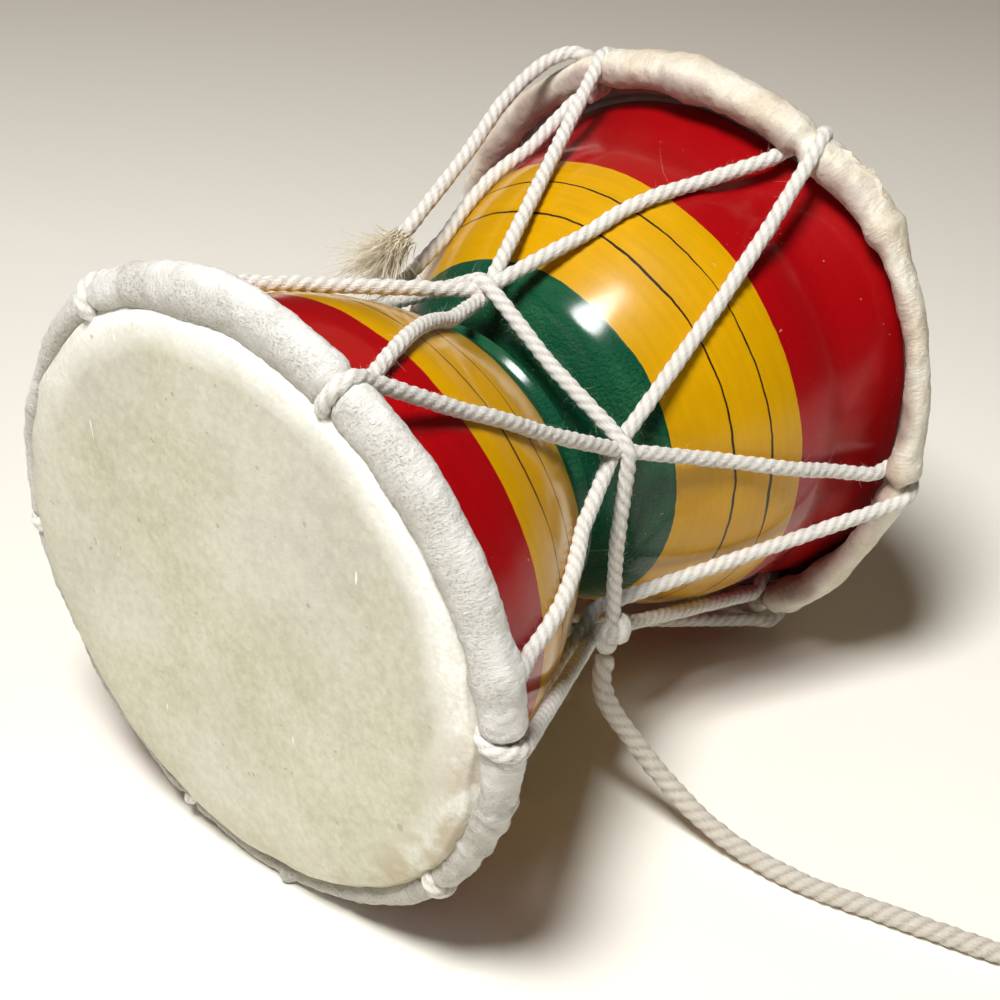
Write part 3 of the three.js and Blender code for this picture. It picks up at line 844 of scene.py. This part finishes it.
# Wraps that are laid or pulled differently: (side, index) to sideways shift and slack
oddWraps = {
    (-1, 0): (0.0026, 0), (-1, 1): (0.0014, 0), (1, 1): (0.0054, 0), (1, 2): (0.005, 0),
    (1, 3): (0.003, 0.002),
}
# Shifts say how far a crossing is moved, in degrees round the drum and outwards, and bends how far the
# middles of the legs before and after it are turned, in degrees
knottedPlay = {"shifts": {2: (-8, 0.0026), 3: (3, 0.0046)}, "bends": {0: (0, 3.3), 1: (-1.2, -0.8)}}
tailedPlay = {"shifts": {2: (-2, 0.0007)}, "bends": {0: (0, 1.2), 1: (-1.5, 0)}}


def wrapPoints(side, fromAngle, toAngle, slack=0.0):
    # over the outside of the roll, round its head side and out behind, on an oval round the cane
    radius, place, across, along = courseAt(side, (fromAngle + toAngle) / 2)
    across = across + lace["radius"] - lacing["bite"] + slack
    along = along + lace["radius"] - lacing["bite"] + slack / 3
    turn = np.radians(np.linspace(*lacing["wrapTurn"]))
    angles = fromAngle + (toAngle - fromAngle) * np.linspace(0, 1, len(turn))
    points = polar(radius + across * np.cos(turn), angles, side * (place + along * np.sin(turn)))
    points[:, 2] = np.maximum(points[:, 2], lace["radius"])
    depth = radius - across + slack - lacing["innerDrop"]
    inner = polar(depth, toAngle, side * (place - lacing["innerRun"]))
    return np.concatenate([points, inner[None]])


def hoopWrap(side, index):
    angle = (frontAngles if side < 0 else rearAngles)[index]
    slant, slack = oddWraps.get((side, index), (lacing["slant"], 0))
    half = math.degrees(slant / 2 / drum["hoopRadius"])
    return wrapPoints(side, angle - half, angle + half, slack)[::-1]


def zigzag(wraps, startSide, shifts, bends):
    # hoop, crossing, hoop, from head to head in turn
    parts = [wraps[0]]
    for index in range(len(wraps) - 1):
        over = startSide * (-1 if index % 2 else 1) < 0
        turned, slack = shifts.get(index, (0, 0))
        middle = polar((overRadius if over else underRadius) + slack, crossingAngles[index] + turned, 0.0)
        before, after = bends.get(index, (0, 0))
        parts += [legMiddle(parts[-1][-1], middle, before), middle[None],
                  legMiddle(middle, wraps[index + 1][0], after), wraps[index + 1]]
    return np.concatenate(parts)


def legMiddle(start, end, bend):
    # three points of a leg whose middle is turned by this many degrees round the drum, or none
    if not bend:
        return np.zeros((0, 3))
    share = np.array([0.25, 0.5, 0.75])[:, None]
    points = start + (end - start) * share - axisPoint
    turn = np.radians(bend) * np.sin(share[:, 0] * math.pi)
    across = points[:, 0] * np.cos(turn) - points[:, 2] * np.sin(turn)
    height = points[:, 0] * np.sin(turn) + points[:, 2] * np.cos(turn)
    return np.stack([across, points[:, 1], height + axisHeight], -1)


def offShell(points):
    # straight runs cut fine and pushed out from the axis to where they clear the shell
    line = evenly(points, lacing["offStep"])
    fromAxis = line - axisPoint
    radius = np.hypot(fromAxis[:, 0], fromAxis[:, 2])
    least = shellRadius(line[:, 1]) + lace["radius"] + lacing["clear"]
    between = np.abs(line[:, 1]) < shellHalf - lacing["mouthRoom"]
    fromAxis[:, [0, 2]] *= np.where(between, np.maximum(1, least / radius), 1)[:, None]
    return fromAxis + axisPoint


def roundAxis(line):
    # the direction round the drum at each point
    return np.stack([-(line[:, 2] - axisHeight), np.zeros(len(line)), line[:, 0]], -1)


def lacePiece(name, points, node):
    line = softened(offShell(points), lace["step"], lacing["bend"])
    addPiece(name, ropeMesh(name, line, unit(roundAxis(line)), lace), lacingLook, "cotton", node)
    return line


def wrapsFrom(startSide):
    return [hoopWrap(startSide * (-1 if index % 2 else 1), index) for index in range(6)]


laceKnotPlace = polar(underRadius - lacing["knotDrop"], crossingAngles[laceKnotCrossing], 0.0)
knottedRun = zigzag(wrapsFrom(-1), -1, **knottedPlay)
knotPoint = laceKnotPlace[None]
knottedLine = lacePiece("laceKnotted", np.concatenate([knotPoint, knottedRun, knotPoint]), "lace_knotted")

# The second lacing's end, once more over the rear roll and back to just above the girdle
tail = {
    "angle": 116.8,
    "turn": -2.2,
    "end": (0.0394, 127, 0.0042),       # from the axis, degrees, along the drum
    "bow": [(0.0576, 116.4, 0.0542), (0.0579, 118.6, 0.0530), (0.0578, 120.6, 0.0498),
            (0.0563, 122.3, 0.0445), (0.0540, 123.3, 0.0380), (0.0488, 124.0, 0.0270),
            (0.0447, 124.9, 0.0170), (0.0413, 126.0, 0.0085)],
}
tailWrap = wrapPoints(1, tail["angle"] + tail["turn"], tail["angle"])[:4:-1]
tailEnd = polar(*tail["end"])
tailedRun = zigzag(wrapsFrom(1) + [tailWrap], 1, **tailedPlay)
tailBow = polar(*np.array(tail["bow"]).T)
tailedLine = lacePiece("laceTailed", np.concatenate([tailedRun, tailBow, tailEnd[None]]), "lace_tailed")

print("girdle")

girdle = {
    "cornerRise": 0.0007, "sag": -0.0012, "bend": 0.0013,
    "tieRise": 0.0045, "tieSetback": -0.0016,
    "tie": {"size": (0.0062, 0.0052, 0.0026), "tilt": 0.3},
}
girdleKnotPlace = polar(overRadius + girdle["tieRise"], crossingAngles[tieCrossing], girdle["tieSetback"])


def girdlePoints():
    # straight from crossing to crossing, starting and ending at its own knot
    order = [(tieCrossing + i) % 6 for i in range(7)]
    corners = polar(lacing["girdleRadius"] + girdle["cornerRise"], np.array(crossingAngles)[order], 0.0)
    corners[[0, -1]] = girdleKnotPlace
    places = (corners[:-1] + corners[1:]) / 2 + np.array([0, girdle["sag"], 0])
    return np.concatenate([np.stack([corners[:-1], places], 1).reshape(-1, 3), corners[-1:]])


girdleLine = softened(girdlePoints(), lace["step"], girdle["bend"])
addPiece("girdleCord", ropeMesh("girdleCord", girdleLine, sideways, lace), lacingLook, "cotton", "girdle")


def tiedKnot(name, place, tie, node):
    # a trefoil on its crossing, its plane square to the way out from the axis
    out = place - np.array([0, place[1], axisHeight])
    line = knotLine(place, out, np.array([tie["tilt"], 1, 0]), tie["size"], lace["step"])
    addPiece(name, ropeMesh(name, line, unit(out), lace, loop=True), lacingLook, "cotton", node)


tiedKnot("girdleKnot", girdleKnotPlace, girdle["tie"], "girdle_knot")
tiedKnot("laceKnot", laceKnotPlace, lacing["tie"], "lace_knot")

print("heads")


def arcFrom(degrees, angle):
    # the way round the hoop from one angle, signed
    return np.radians((degrees - angle + 180) % 360 - 180) * drum["hoopRadius"]


def wrapNearness(degrees, angles, width):
    # 1 at a lacing point and falling off round the hoop as a bell curve
    near = [np.exp(-0.5 * (arcFrom(degrees, angle) / width) ** 2) for angle in angles]
    return np.maximum.reduce(near)


def eased(values, reach):
    # a closed row of values averaged with its neighbours by a bell curve
    offs = np.arange(-3 * reach, 3 * reach + 1)
    weights = np.exp(-0.5 * (offs / reach) ** 2)
    padded = np.concatenate([values[-3 * reach:], values, values[:3 * reach]])
    return np.convolve(padded, weights / weights.sum(), "valid")


def rollMiddle(side, degrees, reach):
    # the course with its corners rounded
    return tuple(eased(values, reach) for values in courseAt(side, degrees))


# The hide slopes and rounds off at its rim, and a web leads out from there to the roll
hide = {
    "around": 360,
    "step": 0.0003,
    "soften": 0.00015,
    "fineFrom": 0.036,      # inside this radius only each third ring is kept
    "slope": 0.0011,
    "slopeRun": 0.0068,
    "round": 0.0009,
    "web": 0.0022,
    "webDepth": 0.0006,
    "lap": 0.0008,          # in over the mouth, and the web's width behind the rim
    "easeFrom": 0.034,      # from here outwards the rim follows its list
    "roughFrom": 0.041,
    "roughRun": 0.008,
    "rough": 0.00014,
}


def headOutline():
    # distance from the axis, distance back from the face, share of the way out to the roll's middle,
    # and 1 behind the hide; the shares stand in millimetres while the line is cut into even steps
    rim, thick = drum["headRadius"], drum["hideThickness"]
    corner, drop, run, web = (hide[key] for key in ("round", "slope", "slopeRun", "web"))
    middle, shareSize = 0.0002, 0.001
    turn = np.radians(np.linspace(90, 0, 7))
    face = [(middle, 0, 0, 0), (rim - run, 0, 0, 0), (rim - run * 0.65, drop * 0.15, 0, 0),
            (rim - run * 0.3, drop * 0.5, 0, 0)]
    face += [(rim - corner + corner * math.cos(t), drop + corner - corner * math.sin(t), 0, 0)
             for t in turn]
    out = [(rim - 0.0001, web, 0, 0), (rim, web + 0.0002, 1, 0), (rim, web + 0.0010, 1, 1),
           (rim - hide["lap"], web + hide["webDepth"], 0, 1)]
    back = [(drum["mouthRadius"] + hide["lap"], thick + drop * 0.6, 0, 1), (rim - run, thick, 0, 1),
            (middle, thick, 0, 1)]
    scales = (1, 1, shareSize, shareSize)
    line = softened(np.array(face + out + back) * scales, hide["step"], hide["soften"])
    return thinned(line, line[:, 0] > hide["fineFrom"], 3) / scales


def makeHead(name, side, node, seed):
    # the outline carried round, its rim in or out by its list and its web out to the roll's middle;
    # then the skin is roughened along the axis, and the rim towards and from it
    degrees = roundSteps(hide["around"], 360)
    radius, back, out, behind = np.hsplit(headOutline(), 4)
    middle, place, _, _ = rollMiddle(side, degrees, 4)
    inside = np.clip((radius - hide["easeFrom"]) / (drum["headRadius"] - hide["easeFrom"]), 0, 1)
    radius = radius + inside ** 2 * eased(roundRead(rimOut if side < 0 else mouthOut, degrees)[0], 6)
    radius = radius + out * (middle - radius)
    along = (halfLength - back) + out * (place - (halfLength - hide["web"] - hide["webDepth"]))
    points = polar(radius, degrees, side * along)
    atRim = np.clip((radius - hide["roughFrom"]) / hide["roughRun"], 0, 1)
    drift = waves(points, 0.016, seed) * 0.6 + waves(points, 0.005, seed + 1) * 0.4
    points[..., 1] += side * hide["rough"] * drift * (0.3 + 0.7 * atRim)
    grow = (hide["rough"] * 1.3 * waves(points, 0.013, seed + 2) * atRim)[..., None]
    points += grow * (polar(1.0, degrees, 0.0) - axisPoint)
    size = (hide["step"], 2 * math.pi * drum["headRadius"] / hide["around"])
    mesh = gridMesh(name, onFloor(points), uvSize=size, masks={"behind": behind + 0 * radius})
    addPiece(name, mesh, membraneLook, "hide", node)


def ovalRound(side, degrees, turn, radius, place, across, along):
    # an oval section carried round the drum, with these half widths about this middle
    return polar(radius + across * np.cos(turn), degrees[:, None], side * (place + along * np.sin(turn)))


def makeRoll(name, side, angles, look, shape):
    # round the drum and round the section: an oval whose half widths swell and pinch
    around, section = rollForm["around"], rollForm["section"]
    degrees, turn = roundSteps(around, 360), roundSteps(section)
    radius, place, across, along = (values[:, None] for values in rollMiddle(side, degrees, 9))
    near, beside, held = (wrapNearness(degrees, angles, rollForm[key])[:, None]
                          for key in ("pinchReach", "besideReach", "heldReach"))
    free = 1 - held
    base = ovalRound(side, degrees, turn, radius, place, across, along)
    seed = shape["seed"]
    lumps = rollForm["lumps"] * waves(base, rollForm["lumpSize"], seed) * (0.35 + 0.65 * free)
    dents = shape["dents"] * waves(base, rollForm["dentSize"], seed + 1)
    pores = shape["pores"] * waves(base, rollForm["poreSize"], seed + 2, 40)
    gathered = np.radians(degrees)[:, None] * shape["puckerCount"]
    astray = 3 * waves(base, rollForm["puckerSize"], seed + 3, 12)
    puckers = shape["puckers"] * np.cos(gathered + astray) * held
    folds = 0.0
    for middle, width, height, lean in shape["folds"]:
        off = arcFrom(degrees[:, None], middle) + lean * np.sin(turn)
        folds = folds + height * np.exp(-0.5 * (off / width) ** 2)
    pinched = rollForm["swell"] * (beside - near) - rollForm["pinch"] * near
    swell = pinched + lumps + dents + pores + puckers + folds
    points = ovalRound(side, degrees, turn, radius, place, across + swell, along + swell)
    size = (2 * math.pi * drum["hoopRadius"] / around, 2 * math.pi * rollForm["halfWidth"] / section)
    patchy = 0.25 * waves(base, rollForm["patchSize"], seed + 4)
    # faceward marks the side towards the face; inwardShade marks where painted shade darkens the side
    # towards the axis
    faceward, inwardShade = (np.cos(turn - math.radians(at)) for at in (120, shape["stainedAndShaded"]))
    masks = {"faceward": np.clip(0.5 + 0.75 * faceward + patchy, 0, 1),
             "inwardShade": np.clip(1.6 * inwardShade - 0.6 + patchy, 0, 1)}
    addPiece(name, gridMesh(name, onFloor(points), loop=True, uvSize=size, masks=masks), look, "hide")


rollForm = {
    "around": 960, "section": 64,
    "halfWidth": 0.003,
    "pinchReach": 0.0011, "besideReach": 0.003, "heldReach": 0.0045,    # either side of a wrap
    "swell": 0.0003, "pinch": 0.0011, "lumps": 0.00014,
    "lumpSize": 0.016, "dentSize": 0.0042, "poreSize": 0.0014, "puckerSize": 0.02, "patchSize": 0.012,
}
# Folds: degrees, width, height, sideways lean across the roll
frontShape = {
    "seed": 11, "dents": 0.00006, "pores": 0.00004, "puckers": 0.00006, "puckerCount": 170,
    "stainedAndShaded": 155,     # degrees round the section where the painted shade on the inner side is darkest
    "folds": [(334, 0.0005, 0.00045, 0.0004), (341, 0.0006, 0.0004, -0.0003), (327, 0.0005, 0.0003, 0.0005),
              (12, 0.0016, 0.0005, 0.0006), (276, 0.0008, 0.0010, 0.0), (112, 0.001, 0.0003, 0.0008),
              (345.5, 0.0005, 0.0004, 0.0006)],
}
rearShape = {
    "seed": 31, "dents": 0.00007, "pores": 0.00003, "puckers": 0.00008, "puckerCount": 150,
    "stainedAndShaded": -118,
    "folds": [(41.5, 0.0013, 0.0006, 0.0003), (90, 0.002, 0.0003, 0.0), (354, 0.001, 0.0003, 0.001),
              (306, 0.0012, 0.0004, 0.0)],
}


scrap = {
    "from": 59.5, "to": 44,     # degrees
    "rows": 90, "section": 12,
    "height": 0.0021,
    "thickness": 0.00012,
    "lean": 0.00012,
    "length": 0.016,
    "sunk": 0.0011,
    "foot": 0.0003,
    "headward": 0.0006,
}


def makeScrap():
    # a thin ragged flake along the outside of the rear roll: a flat oval, its height uneven
    share = np.linspace(0, 1, scrap["rows"])
    degrees = scrap["from"] + (scrap["to"] - scrap["from"]) * share
    turn = roundSteps(scrap["section"])
    radius, place, across, _ = (values[:, None] for values in courseAt(1, degrees))
    run = share[:, None] * scrap["length"]
    ragged = 0.75 + 0.12 * waves(run, 0.004, 81) + 0.05 * waves(run, 0.0012, 82)
    height = (scrap["height"] * np.clip(ragged, 0.12, 1.2) * np.sin(math.pi * share) ** 0.5)[:, None]
    drift = scrap["lean"] * waves(run, 0.006, 83)[:, None]
    out = radius + across - scrap["sunk"] + height * (1 + np.cos(turn)) / 2 + scrap["foot"] * np.cos(turn)
    along = place + scrap["headward"] + drift * (1 + np.cos(turn)) + scrap["thickness"] * np.sin(turn)
    mesh = gridMesh("rearScrap", polar(out, degrees[:, None], along), uvSize=(0.0002, 0.0003))
    addPiece("rearScrap", mesh, rearRollLook, "hide")


cane = {
    "around": 480, "section": 16,
    "across": 0.0012, "along": 0.0019,
    "acrossShare": 0.5, "alongShare": 0.6,      # at most these of the roll's own
}


def makeCane(name, side, node):
    # the hoop itself, an oval inside the rolled hide, following its course
    degrees, turn = roundSteps(cane["around"], 360), roundSteps(cane["section"])
    radius, place, across, along = (values[:, None] for values in rollMiddle(side, degrees, 9))
    across = np.minimum(cane["across"], across * cane["acrossShare"])
    along = np.minimum(cane["along"], along * cane["alongShare"])
    points = ovalRound(side, degrees, turn, radius, place, across, along)
    addPiece(name, gridMesh(name, points, loop=True), caneLook, "cane", node)


makeHead("frontMembrane", -1, "front_head", 51)
makeHead("rearMembrane", 1, "rear_head", 61)
makeRoll("frontRoll", -1, frontAngles, frontRollLook, frontShape)
makeRoll("rearRoll", 1, rearAngles, rearRollLook, rearShape)
makeScrap()
makeCane("frontCane", -1, "front_hoop")
makeCane("rearCane", 1, "rear_hoop")

print("loose fibres")


def fibreMesh(name, starts, ways, lengths, thickness, bend, seed, segments=4):
    # each fibre is start + length (t way + t^2 curl + t^3 twist), three-sided and thinner towards its tip
    chance = np.random.default_rng(seed)
    count = len(starts)
    t = np.linspace(0, 1, segments + 1)[None, :, None]
    curl = chance.normal(size=(count, 1, 3)) * bend
    twist = chance.normal(size=(count, 1, 3)) * bend * 0.5
    centre = starts[:, None] + lengths[:, None, None] * (t * ways[:, None] + t ** 2 * curl + t ** 3 * twist)
    side = unit(np.cross(ways, chance.normal(size=(count, 3))))
    up = np.cross(ways, side)
    turn = roundSteps(3)
    around = np.cos(turn)[:, None] * side[:, None, None] + np.sin(turn)[:, None] * up[:, None, None]
    width = thickness * (1 - 0.7 * t[..., None])
    points = onFloor((centre[:, :, None] + width * around).reshape(-1, 3))
    rings = t.size
    quads, _ = gridFaces(rings, 3, False)
    offset = (np.arange(count) * rings * 3)[:, None, None]
    ends = np.array([[2, 1, 0], [rings * 3 - 3, rings * 3 - 2, rings * 3 - 1]])
    faces = (quads[None] + offset).reshape(-1, 4).tolist() + (ends[None] + offset).reshape(-1, 3).tolist()
    mesh = bpy.data.meshes.new(name)
    mesh.from_pydata(points.tolist(), [], faces)
    mesh.shade_smooth()
    return mesh


fuzz = {
    "nap": 0.00036, "napWidth": 0.000016, "napPerMetre": 9500,
    "stray": 0.0014, "strayWidth": 0.000017, "strayPerMetre": 300,
    "rootShare": 0.86,      # of the cord's radius
    "bend": 0.45,
    "lean": 0.9,            # along the cord, and any way
    "astray": 0.3,
    "uneven": 0.4,          # in length
}


def fuzzOn(name, line, guide, rope, seed, density=1.0, strays=1.0):
    # a short nap all round the cord and longer stray hairs, each leaning along it either way
    chance = np.random.default_rng(seed)
    ahead, side, up = ropeFrame(line, guide)
    last = len(line) - 1
    total = last * rope["step"]
    counts = [int(total * fuzz["napPerMetre"] * density), int(total * fuzz["strayPerMetre"] * strays)]
    count = sum(counts)
    at = chance.integers(0, last + 1, count)
    turn = chance.uniform(0, 2 * math.pi, count)[:, None]
    out = np.cos(turn) * side[at] + np.sin(turn) * up[at]
    lean = chance.normal(0, fuzz["lean"], (count, 1)) * ahead[at]
    ways = unit(out + lean + chance.normal(0, fuzz["astray"], (count, 3)))
    starts = line[at] + out * rope["radius"] * fuzz["rootShare"]
    lengths = chance.lognormal(0, fuzz["uneven"], count) * np.repeat([fuzz["nap"], fuzz["stray"]], counts)
    widths = np.repeat([fuzz["napWidth"], fuzz["strayWidth"]], counts)[:, None, None, None]
    mesh = fibreMesh(name, starts, ways, lengths, widths, fuzz["bend"], seed + 1, 2)
    return addPiece(name, mesh, fibreLook, "cotton")


fuzzOn("fuzzKnotted", knottedLine, unit(roundAxis(knottedLine)), lace, 101)
fuzzOn("fuzzTailed", tailedLine, unit(roundAxis(tailedLine)), lace, 103)
fuzzOn("fuzzGirdle", girdleLine, sideways, lace, 105, 1.8, 3.0)
pullFuzz = fuzzOn("fuzzPull", pullLine, sideways, pull, 107, 1.2, 1.6)

fray = {
    "strands": 900,
    "length": 0.0088,
    "thickness": 0.0001,
    "bend": 0.3,
    "spread": 0.25,
    "way": (-0.3, -1.0, -0.45),
    "rootBack": 0.0012,
    "rootSpread": 0.0009,
}


def makeFray():
    # the plies come apart into a brush that opens away from the cord's last direction
    chance = np.random.default_rng(71)
    way = unit(unit(tailedLine[-1] - tailedLine[-12]) + unit(np.array(fray["way"])))
    count = fray["strands"]
    ways = unit(way + chance.normal(0, fray["spread"], (count, 3)))
    starts = tailEnd - way * fray["rootBack"] + chance.normal(0, fray["rootSpread"], (count, 3))
    lengths = fray["length"] * chance.uniform(0.4, 1.1, count)
    mesh = fibreMesh("laceFray", starts, ways, lengths, fray["thickness"], fray["bend"], 72)
    addPiece("laceFray", mesh, frayLook, "cotton", "lace_fray")


makeFray()

print("studio")

studio = {
    "floorHalf": 1.5,
    "floorNear": srgb(252, 249, 238),
    "floorFarShade": srgb(206, 199, 185),
    "farWay": (-0.32, 0.94),        # painted shade: the floor's colour dims this way, from the first distance to the second
    "farRun": (0.14, 0.5),
    "lamps": {
        "key": {"way": (0.13, -0.4, 0.92), "distance": 0.75, "size": 0.24, "power": 7.1},
        "back": {"way": (-0.45, 0.45, 0.9), "distance": 1.1, "size": 1.0, "power": 0.9,
                 "tint": (1, 0.6, 0.36)},
        "fill": {"way": (-0.25, -1.0, 0.4), "distance": 1.2, "size": 0.9, "power": 1.3},
    },
    "world": 0.02,
    "worldTint": (1, 0.93, 0.82, 1),
}


def makeFloor():
    half = studio["floorHalf"]
    mesh = bpy.data.meshes.new("floor")
    corners = [(-half, -half, 0), (half, -half, 0), (half, half, 0), (-half, half, 0)]
    mesh.from_pydata(corners, [], [(0, 1, 2, 3)])
    floor = bpy.data.objects.new("floor", mesh)
    bpy.context.scene.collection.objects.link(floor)
    material, tree, shader = newMaterial("floor", **{"Roughness": 0.8, "Specular IOR Level": 0.1})
    parts = split(tree, coords(tree, "Object"))
    right, back = studio["farWay"]
    away = maths(tree, "ADD", times(tree, parts["X"], right), times(tree, parts["Y"], back))
    # painted shade: the floor's colour darkens towards the back, as its light falls off
    ramp = addNode(tree, "ShaderNodeValToRGB", {0: spanned(tree, away, *studio["farRun"])})
    for stop, colour in zip(ramp.color_ramp.elements, (studio["floorNear"], studio["floorFarShade"])):
        stop.color = colour
    paint(tree, shader, ramp.outputs[0])
    mesh.materials.append(material)


def areaLamp(name, way, distance, size, power, tint=(1, 1, 1)):
    # a round lamp this way and this far from the drum's middle, turned to it
    data = bpy.data.lights.new(name, "AREA")
    data.shape, data.size, data.energy, data.color = "DISK", size, power, tint
    lamp = bpy.data.objects.new(name, data)
    way = Vector(way).normalized()
    lamp.location = Vector((0, 0, axisHeight)) + way * distance
    lamp.rotation_mode = "QUATERNION"
    lamp.rotation_quaternion = (-way).to_track_quat("-Z", "Y")
    bpy.context.scene.collection.objects.link(lamp)


def makeStudio():
    makeFloor()
    for name, lamp in studio["lamps"].items():
        areaLamp(name, **lamp)
    world = bpy.data.worlds.new("studio")
    bpy.context.scene.world = world
    world.use_nodes = True
    background = world.node_tree.nodes["Background"]
    background.inputs[0].default_value = studio["worldTint"]
    background.inputs[1].default_value = studio["world"]
    bpy.context.scene.view_settings.view_transform = "Standard"


makeStudio()
